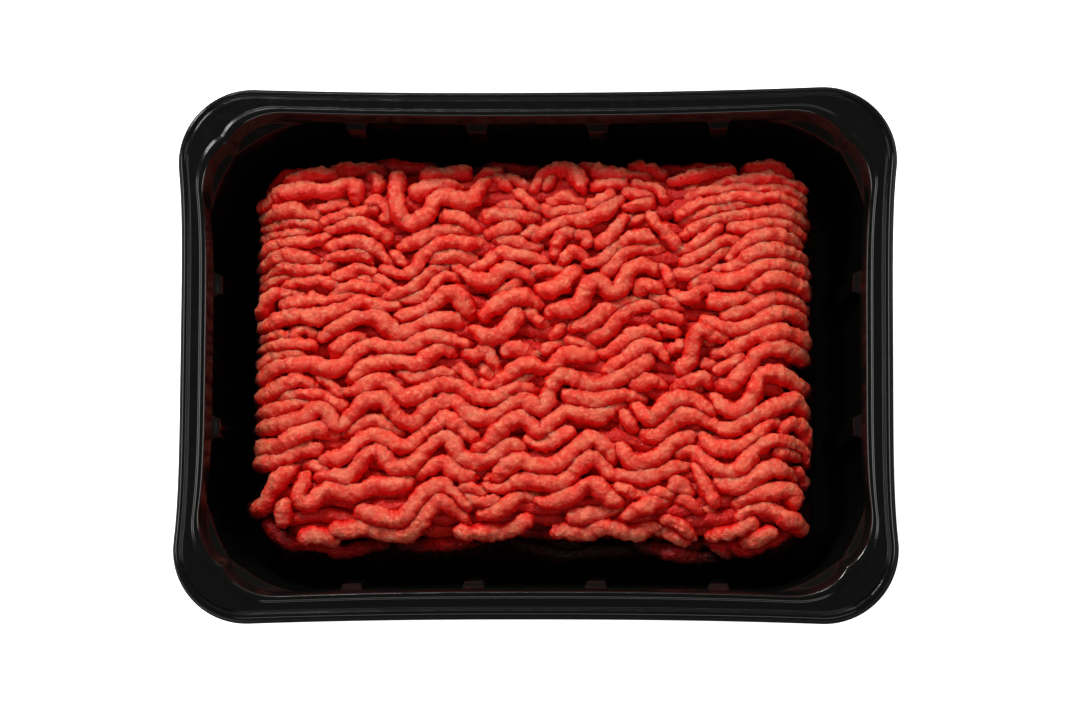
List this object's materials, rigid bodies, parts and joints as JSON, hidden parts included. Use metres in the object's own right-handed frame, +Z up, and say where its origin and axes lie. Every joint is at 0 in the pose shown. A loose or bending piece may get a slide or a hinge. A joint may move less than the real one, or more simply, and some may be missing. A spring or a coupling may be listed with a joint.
{
  "type": "tray of minced meat",
  "caption": "Rectangular black thermoformed tray with a rolled rim and ribbed sloping walls, holding a rounded block of raw minced meat.",
  "frame": {"origin": "on the tabletop under the middle of the tray", "axes": "+X along the tray's length, +Y across it, +Z up out of its mouth"},
  "size_m": [0.1898, 0.142, 0.05],
  "materials": {
    "tray_plastic": "black thermoformed plastic sheet, smooth with a soft gloss, satin on the rim",
    "minced_meat": "raw minced beef, bright red strands with pale flecks of fat and a moist sheen"
  },
  "bodies": {
    "root": {"tray": "tray_plastic", "mince": "minced_meat"}
  },
  "joints": []
}
